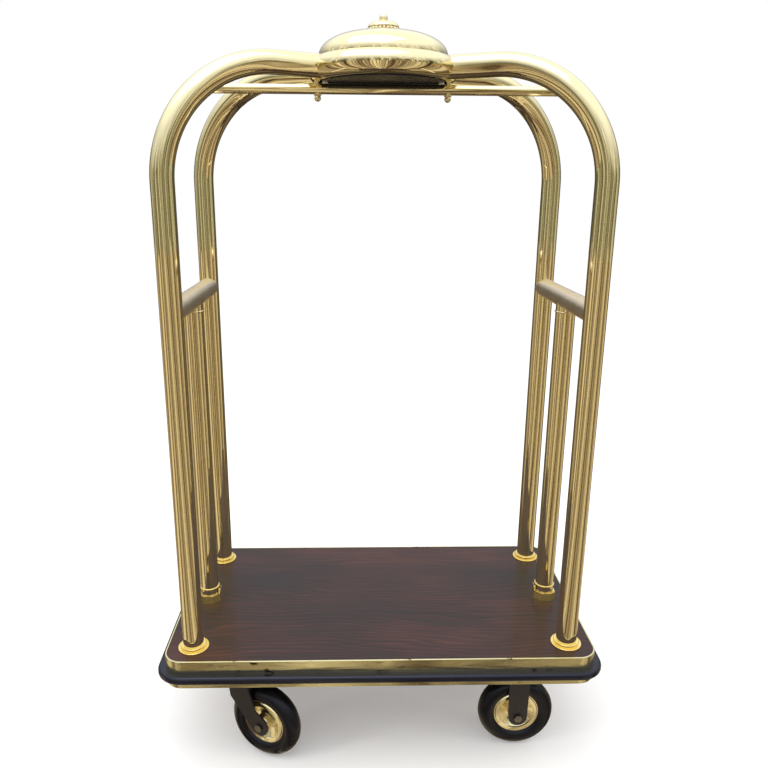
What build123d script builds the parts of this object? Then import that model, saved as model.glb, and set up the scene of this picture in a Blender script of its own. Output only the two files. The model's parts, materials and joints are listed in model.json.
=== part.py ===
from build123d import *
import os
from math import acos, cos, degrees, hypot, radians, sin

# Hotel luggage cart: a veneered deck on four casters under a birdcage of brass tube.
# Millimetres. The origin is on the floor under the middle of the deck, +Z is up,
# X runs along the cart (swivel casters at -X) and Y across it.

# ---------------------------------------------------------------- deck
deck_length = 1066.0
deck_width = 568.0
deck_corner_radius = 47.0
deck_top_height = 320.0
deck_thickness = 72.0
board_thickness = 18.0
rim_wall = 1.5
rim_lip_thickness = 1.2
rim_top_lip = 2.0
rim_bottom_lip = 10.0
rim_round = 1.0
core_edge_beam = 58.0
core_plate_margin = 9.0
core_centre_beam = 90.0
core_glue_line = 0.2
bumper_depth = 19.0
bumper_height = 20.0
bumper_drop = 32.0
bumper_round = 8.0

# ---------------------------------------------------------------- birdcage tubes
tube_diameter = 50.8
tube_wall = 1.5
post_inset_x = 66.0
post_inset_y = 64.0
arch_axis_height = 1684.0
arch_bend_radius = 250.0
rail_axis_height = 1159.0
rail_diameter = 50.0
mid_post_diameter = 49.6

# ---------------------------------------------------------------- tube feet
flange_lip_width = 12.6
flange_radius = tube_diameter / 2 + flange_lip_width
flange_lip_height = 4.0
flange_ring_width = 6.1
flange_ring_radius = tube_diameter / 2 + flange_ring_width
flange_height = 11.0
flange_round = 1.4
socket_across_bottom = 63.0
socket_height = 20.0
socket_floor = 10.0
socket_across_top = 56.0
socket_bore_gap = 1.2
collar_height = 38.0
collar_radius = 27.6
collar_thickness = 3.0
collar_round = 1.2
anchor_plug_length = 28.0
anchor_shank_radius = 6.0
anchor_nut_flats = 19.0
anchor_nut_height = 8.0
anchor_washer_radius = 14.0
anchor_washer_thickness = 2.0
hole_clearance = 0.3

# ---------------------------------------------------------------- crown
ring_radius = 151.0
ring_tube_diameter = tube_diameter
ring_wall = 2.0
dome_radius = 148.5
dome_height = 58.0
dome_seat = 1.0
dome_exponent = 2.4
dome_shell = 1.5
dome_lip_radius = 122.0
dome_points = 9
plate_radius = 142.0
plate_thickness = 1.6
plate_gap = 0.2
plate_lip = 6.0
plate_round = 0.8
plate_screw_angles = (12.0, 168.0, 192.0, 348.0)
plate_screw_circle = 135.0
plate_screw_head_radius = 6.5
plate_screw_head = 4.0
plate_screw_round = 2.0
plate_screw_radius = 3.0
plate_screw_length = 16.0
finial_radius = 37.5
finial_base_height = 8.0
finial_dome_height = 14.0
cap_step = 2.0
cap_rise = (-0.35, 1)
cap_settle = (-1, 0.02)
bead_radius = 3.6
bead_count = 24
button_radius = 9.5
button_height = 17.0
button_neck_radius = 7.0
button_lip = 4.0
button_bore = 7.0
finial_stud_radius = 4.0
finial_stud_drop = 14.0
finial_nut_flats = 13.0
finial_nut_height = 6.0
finial_nut_gap = 0.2

# ---------------------------------------------------------------- hanger bar
bar_diameter = 22.2
bar_wall = 1.5
bar_length = 824.0
bar_gap = 3.0
bar_drop = ring_tube_diameter / 2 + bar_gap + bar_diameter / 2
bar_cap_length = 3.5
bar_cap_round = 2.8
bar_plug_length = 10.5
rod_radius = 4.0
rod_reach = 10.0
spacer_radius = 9.0
ball_nut_radius = 7.6
ball_nut_collar_radius = 8.6
ball_nut_collar = 2.6
ball_nut_rise = 5.7

# ---------------------------------------------------------------- casters
wheel_radius = 98.0
tyre_half_width = 25.0
tyre_wall_drop = 21.0
tyre_wall_radius = wheel_radius - tyre_wall_drop
tyre_shoulder_drop = 5.5
tyre_shoulder_half = 15.5
tyre_seat_radius = 58.0
tyre_seat_half_width = 16.0
hub_ring_radius = 56.0
hub_edge = 1.5
hub_bowl_lip = 2.0
hub_bowl_radius = 44.5
hub_face = 18.0
hub_web_half = 5.0
hub_boss_radius = 21.0
hub_boss_half = 26.0
hub_boss_chamfer = 3.0
hub_root_rise = 2.0
hub_root_radius = 22.0
hub_root_foot = 27.0
bush_radius = 12.0
bush_half = 29.5
axle_radius = 6.35
running_clearance = 0.06
leg_gap = 6.0
leg_thickness = 5.0
leg_end_radius = 25.0
axle_nut_flats = 19.0
axle_nut_height = 7.0
plate_length = 112.0
plate_width = 100.0
top_plate_thickness = 6.0
top_plate_corner = 8.0
bolt_spacing_x = 88.0
bolt_spacing_y = 76.0
bolt_radius = 4.0
bolt_head_radius = 8.0
bolt_head_height = 4.0
bolt_head_round = 2.4
bolt_bite = 24.0
rigid_inset_x = 175.0
swivel_inset_x = 188.0
caster_inset_y = 98.0
rigid_leg_top_width = 56.0
rigid_leg_bottom_width = 48.0
swivel_lead = 58.0
front_heading = -27.0
rear_heading = -22.0
fork_crown_drop = 20.0
fork_crown_thickness = 6.0
fork_crown_radius = 38.0
fork_skirt = 7.0
fork_skirt_wall = 2.5
race_radius = 34.0
race_height = 6.0
ball_circle = 25.0
ball_count = 14
ball_gap = 0.1
king_pin_radius = 9.0
king_nut_flats = 26.0
king_nut_height = 9.0
king_nut_gap = 0.3
leg_front_top = 36.0
leg_front_knee = (-27.0, 66.0)
leg_back_top = 20.0
leg_back_knee = (46.0, 42.0)
leg_end_side = -40.0

# ---------------------------------------------------------------- derived places
deck_bottom = deck_top_height - deck_thickness
board_bottom = deck_top_height - board_thickness
post_x = deck_length / 2 - post_inset_x
post_y = deck_width / 2 - post_inset_y
tube_radius = tube_diameter / 2
rail_radius = rail_diameter / 2
mid_post_radius = mid_post_diameter / 2
ring_tube_radius = ring_tube_diameter / 2
ring_top = arch_axis_height + ring_tube_radius
ring_bottom = arch_axis_height - ring_tube_radius
bar_axis_height = arch_axis_height - bar_drop
bar_radius = bar_diameter / 2
rigid_x = deck_length / 2 - rigid_inset_x
swivel_x = swivel_inset_x - deck_length / 2
caster_y = deck_width / 2 - caster_inset_y
plate_bottom = deck_bottom - top_plate_thickness
leg_inner = tyre_half_width + leg_gap
leg_outer = leg_inner + leg_thickness
crown_top = deck_bottom - fork_crown_drop
crown_bottom = crown_top - fork_crown_thickness
post_places = [(sx * post_x, sy * post_y) for sx in (-1, 1) for sy in (-1, 1)]
mid_places = [(-post_x, 0), (post_x, 0)]
rigid_casters = {"front_right": -caster_y, "rear_right": caster_y}
swivel_casters = {"front_left": (-caster_y, front_heading), "rear_left": (caster_y, rear_heading)}


os.makedirs("parts", exist_ok=True)


def save(piece, name):
    piece.part.label = name
    export_step(piece.part, f"parts/{name}.step")


def deck_outline(height, inset):
    """Sketch of the deck's outline, drawn in by inset, at a height above the floor."""
    with BuildSketch(Plane.XY.offset(height)) as outline:
        RectangleRounded(deck_length - 2 * inset, deck_width - 2 * inset, deck_corner_radius - inset)
    return outline.sketch


def bolt_places(x, y):
    """Centres of the four bolts of a caster plate centred on x, y."""
    half_x, half_y = bolt_spacing_x / 2, bolt_spacing_y / 2
    return [(x + sx * half_x, y + sy * half_y) for sx in (-1, 1) for sy in (-1, 1)]


caster_places = [(rigid_x, y) for y in rigid_casters.values()]
swivel_places = [(swivel_x, y) for y, heading in swivel_casters.values()]
caster_places += swivel_places
all_bolts = [place for x, y in caster_places for place in bolt_places(x, y)]
anchor_places = post_places + mid_places

# ================================================================ deck
with BuildPart() as deck_board:
    extrude(deck_outline(board_bottom, rim_wall), amount=board_thickness)
    with BuildSketch(Plane.XY.offset(board_bottom)):
        with Locations(*anchor_places):
            Circle(anchor_shank_radius + hole_clearance)
    extrude(amount=board_thickness, mode=Mode.SUBTRACT)
save(deck_board, "deck_board")

# Five boards glued into a frame under the veneered board: two ends, two rails and a centre beam.
core_bottom = deck_bottom + rim_lip_thickness
core_height = board_bottom - core_bottom
pocket_x0 = core_centre_beam / 2
pocket_x1 = min(rigid_x, -swivel_x) - plate_length / 2 - core_plate_margin
pocket_width = deck_width - 2 * core_edge_beam
with BuildPart() as deck_core:
    with BuildSketch(Plane.XY.offset(core_bottom)):
        RectangleRounded(deck_length - 2 * rim_wall, deck_width - 2 * rim_wall, deck_corner_radius - rim_wall)
        with Locations(*[(side * (pocket_x0 + pocket_x1) / 2, 0) for side in (-1, 1)]):
            Rectangle(pocket_x1 - pocket_x0, pocket_width, mode=Mode.SUBTRACT)
        with Locations((-pocket_x1, 0), (pocket_x1, 0)):
            Rectangle(core_glue_line, deck_width, mode=Mode.SUBTRACT)
        with Locations((0, -pocket_width / 2), (0, pocket_width / 2)):
            Rectangle(2 * pocket_x1, core_glue_line, mode=Mode.SUBTRACT)
    extrude(amount=core_height)
    with BuildSketch(Plane.XY.offset(core_bottom)):
        with Locations(*anchor_places):
            Circle(anchor_shank_radius + hole_clearance)
    extrude(amount=core_height, mode=Mode.SUBTRACT)
    with BuildSketch(Plane.XY.offset(core_bottom)):
        with Locations(*anchor_places):
            Circle(anchor_washer_radius + hole_clearance)
    extrude(amount=anchor_nut_height + 2 * anchor_washer_thickness, mode=Mode.SUBTRACT)
    with BuildSketch(Plane.XY.offset(core_bottom)):
        with Locations(*all_bolts):
            Circle(bolt_radius + hole_clearance)
    extrude(amount=bolt_bite, mode=Mode.SUBTRACT)
save(deck_core, "deck_core")

lip_top = deck_top_height + rim_lip_thickness
with BuildPart() as deck_rim:
    extrude(deck_outline(deck_bottom, 0), amount=lip_top - deck_bottom)
    extrude(deck_outline(core_bottom, rim_wall), amount=deck_top_height - core_bottom, mode=Mode.SUBTRACT)
    extrude(deck_outline(deck_bottom, rim_wall + rim_bottom_lip), amount=deck_thickness, mode=Mode.SUBTRACT)
    extrude(deck_outline(board_bottom, rim_wall + rim_top_lip), amount=2 * board_thickness, mode=Mode.SUBTRACT)
    fillet(deck_rim.faces().sort_by(Axis.Z)[-1].outer_wire().edges(), rim_round)
save(deck_rim, "deck_rim")

bumper_top = deck_top_height - bumper_drop
with BuildPart() as deck_bumper:
    extrude(deck_outline(bumper_top - bumper_height, -bumper_depth), amount=bumper_height)
    extrude(deck_outline(bumper_top - bumper_height, 0), amount=bumper_height, mode=Mode.SUBTRACT)
    top_loop = deck_bumper.faces().sort_by(Axis.Z)[-1].outer_wire().edges()
    bottom_loop = deck_bumper.faces().sort_by(Axis.Z)[0].outer_wire().edges()
    fillet(top_loop + bottom_loop, bumper_round)
save(deck_bumper, "deck_bumper")


# ================================================================ birdcage
def arch_tube(x, y):
    """A post that bends over and runs level towards the crown, cut to meet the crown ring."""
    reach = hypot(x, y)
    inward = Vector(-x / reach, -y / reach, 0)
    foot = Vector(x, y, deck_top_height)
    bend_start = Vector(x, y, arch_axis_height - arch_bend_radius)
    bend_middle = bend_start + inward * arch_bend_radius * (1 - cos(radians(45)))
    bend_middle += Vector(0, 0, arch_bend_radius * sin(radians(45)))
    bend_end = bend_start + inward * arch_bend_radius + Vector(0, 0, arch_bend_radius)
    level_end = bend_start + inward * (reach - ring_radius) + Vector(0, 0, arch_bend_radius)
    with BuildPart() as tube:
        with BuildLine() as path:
            Line(foot, bend_start)
            ThreePointArc(bend_start, bend_middle, bend_end)
            Line(bend_end, level_end)
        with BuildSketch(Plane(origin=foot, z_dir=(0, 0, 1))):
            Circle(tube_radius)
            Circle(tube_radius - tube_wall, mode=Mode.SUBTRACT)
        sweep(path=path.wires()[0])
        with BuildSketch(Plane.XZ):
            with Locations((ring_radius, arch_axis_height)):
                Circle(ring_tube_radius)
        revolve(axis=Axis.Z, mode=Mode.SUBTRACT)
    return tube


for (x, y), name in zip(post_places, ("front_left", "rear_left", "front_right", "rear_right")):
    save(arch_tube(x, y), f"arch_tube_{name}")

for side, name in ((-1, "left"), (1, "right")):
    x = side * post_x
    with BuildPart() as side_rail:
        with BuildSketch(Plane(origin=(x, -post_y, rail_axis_height), z_dir=(0, 1, 0))):
            Circle(rail_radius)
            Circle(rail_radius - tube_wall, mode=Mode.SUBTRACT)
        extrude(amount=2 * post_y)
        with BuildSketch(Plane.XY.offset(rail_axis_height - rail_diameter)):
            with Locations((x, -post_y), (x, post_y)):
                Circle(tube_radius)
        extrude(amount=2 * rail_diameter, mode=Mode.SUBTRACT)
    save(side_rail, f"side_rail_{name}")

    with BuildPart() as mid_post:
        with BuildSketch(Plane.XY.offset(deck_top_height)):
            with Locations((x, 0)):
                Circle(mid_post_radius)
                Circle(mid_post_radius - tube_wall, mode=Mode.SUBTRACT)
        extrude(amount=rail_axis_height - deck_top_height)
        with BuildSketch(Plane(origin=(x, -rail_diameter, rail_axis_height), z_dir=(0, 1, 0))):
            Circle(rail_radius)
        extrude(amount=2 * rail_diameter, mode=Mode.SUBTRACT)
    save(mid_post, f"mid_post_{name}")

# Round flanges hide the joint between the corner tubes and the board.
with BuildPart() as post_flanges:
    with BuildSketch(Plane.XY.offset(deck_top_height)):
        with Locations(*post_places):
            Circle(flange_radius)
            Circle(tube_radius, mode=Mode.SUBTRACT)
    extrude(amount=flange_lip_height)
    with BuildSketch(Plane.XY.offset(deck_top_height + flange_lip_height)):
        with Locations(*post_places):
            Circle(flange_ring_radius)
            Circle(tube_radius, mode=Mode.SUBTRACT)
    extrude(amount=flange_height - flange_lip_height)
    circles = post_flanges.edges().filter_by(GeomType.CIRCLE)
    lip_circles = circles.filter_by(lambda edge: edge.radius > (flange_ring_radius + flange_radius) / 2)
    wide_circles = circles.filter_by(lambda edge: edge.radius > (tube_radius + flange_ring_radius) / 2)
    fillet(lip_circles.group_by(Axis.Z)[-1] + wide_circles.group_by(Axis.Z)[-1], flange_round)
save(post_flanges, "post_flanges")

# Eight-sided sockets, wider at the foot, hold the middle posts.
with BuildPart() as mid_post_sockets:
    for x, y in mid_places:
        with BuildSketch(Plane.XY.offset(deck_top_height)):
            with Locations((x, y)):
                RegularPolygon(socket_across_bottom / 2, 8, major_radius=False, rotation=22.5)
        with BuildSketch(Plane.XY.offset(deck_top_height + socket_height)):
            with Locations((x, y)):
                RegularPolygon(socket_across_top / 2, 8, major_radius=False, rotation=22.5)
        loft()
    with BuildSketch(Plane.XY.offset(deck_top_height)):
        with Locations(*mid_places):
            Circle(mid_post_radius)
    extrude(amount=socket_height, mode=Mode.SUBTRACT)
    with BuildSketch(Plane.XY.offset(deck_top_height + socket_floor)):
        with Locations(*mid_places):
            Circle(mid_post_radius + socket_bore_gap)
    extrude(amount=socket_height, mode=Mode.SUBTRACT)
save(mid_post_sockets, "mid_post_sockets")

with BuildPart() as mid_post_collars:
    with BuildSketch(Plane.XY.offset(deck_top_height + collar_height)):
        with Locations(*mid_places):
            Circle(collar_radius)
            Circle(mid_post_radius, mode=Mode.SUBTRACT)
    extrude(amount=collar_thickness)
    circles = mid_post_collars.edges().filter_by(GeomType.CIRCLE)
    fillet(circles.filter_by(lambda edge: edge.radius > (mid_post_radius + collar_radius) / 2), collar_round)
save(mid_post_collars, "mid_post_collars")

# Turned anchors: a plug inside each tube and a threaded shank through the deck.
shank_bottom = deck_bottom + rim_lip_thickness + anchor_washer_thickness
with BuildPart() as post_anchors:
    for places, outer_radius in ((post_places, tube_radius), (mid_places, mid_post_radius)):
        with BuildSketch(Plane.XY.offset(deck_top_height)):
            with Locations(*places):
                Circle(outer_radius - tube_wall)
        extrude(amount=anchor_plug_length)
    with BuildSketch(Plane.XY.offset(shank_bottom)):
        with Locations(*anchor_places):
            Circle(anchor_shank_radius)
    extrude(amount=deck_top_height - shank_bottom)
save(post_anchors, "post_anchors")

nut_seat = core_bottom + anchor_nut_height + 2 * anchor_washer_thickness
with BuildPart() as post_anchor_nuts:
    with BuildSketch(Plane.XY.offset(nut_seat - anchor_washer_thickness)):
        with Locations(*anchor_places):
            Circle(anchor_washer_radius)
            Circle(anchor_shank_radius, mode=Mode.SUBTRACT)
    extrude(amount=anchor_washer_thickness)
    with BuildSketch(Plane.XY.offset(nut_seat - anchor_washer_thickness - anchor_nut_height)):
        with Locations(*anchor_places):
            RegularPolygon(anchor_nut_flats / 2, 6, major_radius=False)
            Circle(anchor_shank_radius, mode=Mode.SUBTRACT)
    extrude(amount=anchor_nut_height)
save(post_anchor_nuts, "post_anchor_nuts")

# ================================================================ crown
rod_places = [(-ring_radius, 0), (ring_radius, 0)]
screw_places = [
    (plate_screw_circle * cos(radians(angle)), plate_screw_circle * sin(radians(angle)))
    for angle in plate_screw_angles
]
with BuildPart() as crown_ring:
    with BuildSketch(Plane.XZ):
        with Locations((ring_radius, arch_axis_height)):
            Circle(ring_tube_radius)
            Circle(ring_tube_radius - ring_wall, mode=Mode.SUBTRACT)
    revolve(axis=Axis.Z)
    with BuildSketch(Plane.XY.offset(ring_bottom)):
        with Locations(*rod_places):
            Circle(rod_radius)
        with Locations(*screw_places):
            Circle(plate_screw_radius)
    extrude(amount=ring_tube_radius, mode=Mode.SUBTRACT)
save(crown_ring, "crown_ring")


def dome_profile(radius, height):
    """Points of a squarish quarter-ellipse from the rim to the top."""
    points = []
    for step in range(dome_points + 1):
        turn = radians(90 * step / dome_points)
        points.append((radius * cos(turn) ** (2 / dome_exponent), height * sin(turn) ** (2 / dome_exponent)))
    return points


# The dome's inner lip sits on the crest of the ring and is shaped to it.
dome_base = ring_top - dome_seat
with BuildPart() as crown_dome:
    with BuildSketch(Plane.XZ):
        with BuildLine():
            outer = [(r, dome_base + z) for r, z in dome_profile(dome_radius, dome_height)]
            hollow = dome_profile(dome_radius - dome_shell, dome_height - dome_shell)
            inner = [(r, dome_base + z) for r, z in hollow if z > dome_shell]
            Spline(outer, tangents=((0, 1), (-1, 0)))
            Line(outer[-1], inner[-1])
            Spline(inner)
            lip = [(dome_lip_radius, dome_base + dome_shell), (dome_lip_radius, dome_base)]
            Polyline(inner[0], *lip, outer[0])
        make_face()
    revolve(axis=Axis.Z)
    with BuildSketch(Plane.XZ):
        with Locations((ring_radius, arch_axis_height)):
            Circle(ring_tube_radius)
    revolve(axis=Axis.Z, mode=Mode.SUBTRACT)
    with BuildSketch(Plane.XY.offset(ring_top)):
        Circle(finial_stud_radius)
    extrude(amount=2 * dome_height, mode=Mode.SUBTRACT)
save(crown_dome, "crown_dome")

# A black pan closes the underside of the ring.
plate_top = ring_bottom - plate_gap
with BuildPart() as crown_plate:
    with BuildSketch(Plane.XY.offset(plate_top - plate_thickness)):
        Circle(plate_radius)
        with Locations(*screw_places):
            Circle(plate_screw_radius, mode=Mode.SUBTRACT)
    extrude(amount=plate_thickness)
    with BuildSketch(Plane.XY.offset(plate_top)):
        Circle(ring_radius - ring_tube_radius)
    extrude(amount=plate_lip)
    fillet(crown_plate.faces().sort_by(Axis.Z)[0].outer_wire().edges(), plate_round)
save(crown_plate, "crown_plate")

with BuildPart() as crown_plate_screws:
    with BuildSketch(Plane.XY.offset(plate_top - plate_thickness - plate_screw_head)):
        with Locations(*screw_places):
            Circle(plate_screw_head_radius)
    extrude(amount=plate_screw_head)
    low_edges = crown_plate_screws.edges().group_by(Axis.Z)[0]
    fillet(low_edges, plate_screw_round)
    with BuildSketch(Plane.XY.offset(plate_top - plate_thickness)):
        with Locations(*screw_places):
            Circle(plate_screw_radius)
    extrude(amount=plate_screw_length)
save(crown_plate_screws, "crown_plate_screws")

# ---------------------------------------------------------------- finial
dome_top = dome_base + dome_height
bead_circle = finial_radius - bead_radius
with BuildPart() as finial_bead_ring:
    with BuildSketch(Plane.XY.offset(dome_top)):
        Circle(bead_circle)
        Circle(finial_stud_radius, mode=Mode.SUBTRACT)
    extrude(amount=finial_base_height)
    with Locations((0, 0, dome_top + finial_base_height / 2)):
        with PolarLocations(bead_circle, bead_count):
            Sphere(bead_radius)
save(finial_bead_ring, "finial_bead_ring")

cap_base = dome_top + finial_base_height
cap_radius = bead_circle + bead_radius / 2
with BuildPart() as finial_cap:
    with BuildSketch(Plane.XZ):
        with BuildLine():
            Line((finial_stud_radius, cap_base), (cap_radius, cap_base))
            Line((cap_radius, cap_base), (cap_radius, cap_base + cap_step))
            Spline(
                (cap_radius, cap_base + cap_step),
                (button_radius, cap_base + finial_dome_height),
                tangents=(cap_rise, cap_settle),
            )
            Polyline(
                (button_radius, cap_base + finial_dome_height),
                (finial_stud_radius, cap_base + finial_dome_height),
                (finial_stud_radius, cap_base),
            )
        make_face()
    revolve(axis=Axis.Z)
save(finial_cap, "finial_cap")

button_base = cap_base + finial_dome_height
button_lip_top = button_base + button_lip
with BuildPart() as finial_button:
    with BuildSketch(Plane.XZ):
        with BuildLine():
            Polyline((0, button_base), (button_neck_radius, button_base), (button_radius, button_lip_top))
            Spline(
                (button_radius, button_lip_top),
                (0, button_base + button_height),
                tangents=((0, 1), (-1, 0)),
            )
            Line((0, button_base + button_height), (0, button_base))
        make_face()
    revolve(axis=Axis.Z)
    with BuildSketch(Plane.XY.offset(button_base)):
        Circle(finial_stud_radius)
    extrude(amount=button_bore, mode=Mode.SUBTRACT)
save(finial_button, "finial_button")

with BuildPart() as finial_stud:
    with BuildSketch(Plane.XY.offset(dome_top - finial_stud_drop)):
        Circle(finial_stud_radius)
    extrude(amount=button_base + button_bore - dome_top + finial_stud_drop)
    with BuildSketch(Plane.XY.offset(dome_top - dome_shell - finial_nut_gap - finial_nut_height)):
        RegularPolygon(finial_nut_flats / 2, 6, major_radius=False)
    extrude(amount=finial_nut_height)
save(finial_stud, "finial_stud")

# ================================================================ hanger bar
with BuildPart() as hanger_bar:
    with BuildSketch(Plane(origin=(-bar_length / 2, 0, bar_axis_height), z_dir=(1, 0, 0))):
        Circle(bar_radius)
        Circle(bar_radius - bar_wall, mode=Mode.SUBTRACT)
    extrude(amount=bar_length)
    with BuildSketch(Plane.XY.offset(bar_axis_height - bar_diameter)):
        with Locations(*rod_places):
            Circle(rod_radius)
    extrude(amount=2 * bar_diameter, mode=Mode.SUBTRACT)
save(hanger_bar, "hanger_bar")

with BuildPart() as hanger_bar_caps:
    for side in (-1, 1):
        end = side * bar_length / 2
        with BuildSketch(Plane(origin=(end, 0, bar_axis_height), z_dir=(side, 0, 0))):
            Circle(bar_radius)
        extrude(amount=bar_cap_length)
        with BuildSketch(Plane(origin=(end, 0, bar_axis_height), z_dir=(-side, 0, 0))):
            Circle(bar_radius - bar_wall)
        extrude(amount=bar_plug_length)
    fillet(hanger_bar_caps.faces().sort_by(Axis.X)[0].edges(), bar_cap_round)
    fillet(hanger_bar_caps.faces().sort_by(Axis.X)[-1].edges(), bar_cap_round)
save(hanger_bar_caps, "hanger_bar_caps")

# Short sleeves hold the bar below the ring, shaped to the bar and the ring they press against.
with BuildPart() as hanger_spacers:
    with BuildSketch(Plane.XY.offset(bar_axis_height)):
        with Locations(*rod_places):
            Circle(spacer_radius)
            Circle(rod_radius, mode=Mode.SUBTRACT)
    extrude(amount=bar_drop)
    with BuildSketch(Plane(origin=(-bar_length / 2, 0, bar_axis_height), z_dir=(1, 0, 0))):
        Circle(bar_radius)
    extrude(amount=bar_length, mode=Mode.SUBTRACT)
    with BuildSketch(Plane.XZ):
        with Locations((ring_radius, arch_axis_height)):
            Circle(ring_tube_radius)
    revolve(axis=Axis.Z, mode=Mode.SUBTRACT)
    with BuildSketch(Plane.XY.offset(arch_axis_height)):
        Circle(ring_radius + ring_tube_diameter)
    extrude(amount=ring_tube_radius, mode=Mode.SUBTRACT)
save(hanger_spacers, "hanger_spacers")

rod_bottom = bar_axis_height - bar_radius - ball_nut_collar
with BuildPart() as hanger_rods:
    with BuildSketch(Plane.XY.offset(rod_bottom)):
        with Locations(*rod_places):
            Circle(rod_radius)
    extrude(amount=ring_bottom + rod_reach - rod_bottom)
save(hanger_rods, "hanger_rods")

ball_centre = rod_bottom - ball_nut_rise
with BuildPart() as hanger_ball_nuts:
    with BuildSketch(Plane.XY.offset(rod_bottom)):
        with Locations(*rod_places):
            Circle(ball_nut_collar_radius)
            Circle(rod_radius, mode=Mode.SUBTRACT)
    extrude(amount=2 * ball_nut_collar)
    with BuildSketch(Plane(origin=(-bar_length / 2, 0, bar_axis_height), z_dir=(1, 0, 0))):
        Circle(bar_radius)
    extrude(amount=bar_length, mode=Mode.SUBTRACT)
    with Locations(*[(x, y, ball_centre) for x, y in rod_places]):
        Sphere(ball_nut_radius)
    with BuildSketch(Plane.XY.offset(rod_bottom)):
        with Locations(*rod_places):
            Circle(rod_radius)
    extrude(amount=ball_nut_collar, mode=Mode.SUBTRACT)
save(hanger_ball_nuts, "hanger_ball_nuts")


# ================================================================ casters
def caster_plate(x, y):
    """The bolted top plate shared by both kinds of caster."""
    with BuildSketch(Plane.XY.offset(plate_bottom)) as outline:
        with Locations((x, y)):
            RectangleRounded(plate_length, plate_width, top_plate_corner)
        with Locations(*bolt_places(x, y)):
            Circle(bolt_radius, mode=Mode.SUBTRACT)
    return outline.sketch


def side_plane(x, y, heading, offset):
    """Vertical plane through x, y facing along the axle, moved offset along the axle."""
    along = Vector(cos(radians(heading)), sin(radians(heading)), 0)
    axle = Vector(-sin(radians(heading)), cos(radians(heading)), 0)
    return Plane(origin=Vector(x, y, 0) - axle * offset, x_dir=along, z_dir=axle * -1)


def axle_pieces(name, x, y, heading):
    """The bolt through both legs and the hexagon nut on its threaded end."""
    axle_plane = side_plane(x, y, heading, -leg_outer)
    with BuildPart() as axle:
        with BuildSketch(axle_plane):
            with Locations((0, wheel_radius)):
                Circle(axle_radius)
        extrude(amount=2 * leg_outer + axle_nut_height)
        with BuildSketch(axle_plane):
            with Locations((0, wheel_radius)):
                RegularPolygon(axle_nut_flats / 2, 6, major_radius=False)
        extrude(amount=-axle_nut_height)
    save(axle, f"axle_{name}")
    with BuildPart() as nut:
        with BuildSketch(side_plane(x, y, heading, leg_outer)):
            with Locations((0, wheel_radius)):
                RegularPolygon(axle_nut_flats / 2, 6, major_radius=False)
                Circle(axle_radius, mode=Mode.SUBTRACT)
        extrude(amount=axle_nut_height)
    save(nut, f"axle_nut_{name}")


def wheel(name, x, y, heading):
    """Tyre, dished hub and bush, all turned about the axle."""
    along = Vector(cos(radians(heading)), sin(radians(heading)), 0)
    axle = Vector(-sin(radians(heading)), cos(radians(heading)), 0)
    centre = Vector(x, y, wheel_radius)
    section = Plane(origin=centre, x_dir=axle, z_dir=along)
    axis = Axis(centre, axle)
    shoulder = wheel_radius - tyre_shoulder_drop
    with BuildPart() as tyre:
        with BuildSketch(section):
            with BuildLine():
                Line((tyre_seat_half_width, tyre_seat_radius), (-tyre_seat_half_width, tyre_seat_radius))
                ThreePointArc(
                    (-tyre_seat_half_width, tyre_seat_radius),
                    (-tyre_half_width, tyre_wall_radius),
                    (-tyre_shoulder_half, shoulder),
                )
                ThreePointArc((-tyre_shoulder_half, shoulder), (0, wheel_radius), (tyre_shoulder_half, shoulder))
                ThreePointArc(
                    (tyre_shoulder_half, shoulder),
                    (tyre_half_width, tyre_wall_radius),
                    (tyre_seat_half_width, tyre_seat_radius),
                )
            make_face()
        revolve(axis=axis)
    save(tyre, f"tyre_{name}")

    half = [
        (0, bush_radius),
        (hub_boss_half, bush_radius),
        (hub_boss_half, hub_boss_radius - hub_boss_chamfer),
        (hub_boss_half - hub_boss_chamfer, hub_boss_radius),
        (hub_web_half + hub_root_rise, hub_root_radius),
        (hub_web_half, hub_root_foot),
        (hub_face - hub_bowl_lip, hub_bowl_radius),
        (hub_face, hub_bowl_radius + hub_edge),
        (hub_face, hub_ring_radius - hub_edge),
        (hub_face - hub_edge, hub_ring_radius),
        (tyre_seat_half_width, hub_ring_radius),
        (tyre_seat_half_width, tyre_seat_radius),
        (0, tyre_seat_radius),
    ]
    with BuildPart() as hub:
        with BuildSketch(section):
            with BuildLine():
                Polyline(*half, *[(-u, v) for u, v in reversed(half[1:-1])], close=True)
            make_face()
        revolve(axis=axis)
    save(hub, f"hub_{name}")

    with BuildPart() as bush:
        with BuildSketch(section):
            with Locations((0, (bush_radius + axle_radius + running_clearance) / 2)):
                Rectangle(2 * bush_half, bush_radius - axle_radius - running_clearance)
        revolve(axis=axis)
    save(bush, f"bush_{name}")


# ---------------------------------------------------------------- rigid casters
for name, y in rigid_casters.items():
    with BuildPart() as bracket:
        extrude(caster_plate(rigid_x, y), amount=top_plate_thickness)
        for offset in (-leg_inner - leg_thickness, leg_inner):
            with BuildSketch(side_plane(rigid_x, y, 0, offset)):
                with BuildLine():
                    Polyline(
                        (-rigid_leg_bottom_width / 2, wheel_radius),
                        (-rigid_leg_top_width / 2, plate_bottom),
                        (rigid_leg_top_width / 2, plate_bottom),
                        (rigid_leg_bottom_width / 2, wheel_radius),
                    )
                    ThreePointArc(
                        (rigid_leg_bottom_width / 2, wheel_radius),
                        (0, wheel_radius - rigid_leg_bottom_width / 2),
                        (-rigid_leg_bottom_width / 2, wheel_radius),
                    )
                make_face()
                with Locations((0, wheel_radius)):
                    Circle(axle_radius, mode=Mode.SUBTRACT)
            extrude(amount=leg_thickness)
    save(bracket, f"bracket_{name}")
    axle_pieces(name, rigid_x, y, 0)
    wheel(name, rigid_x, y, 0)

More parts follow.
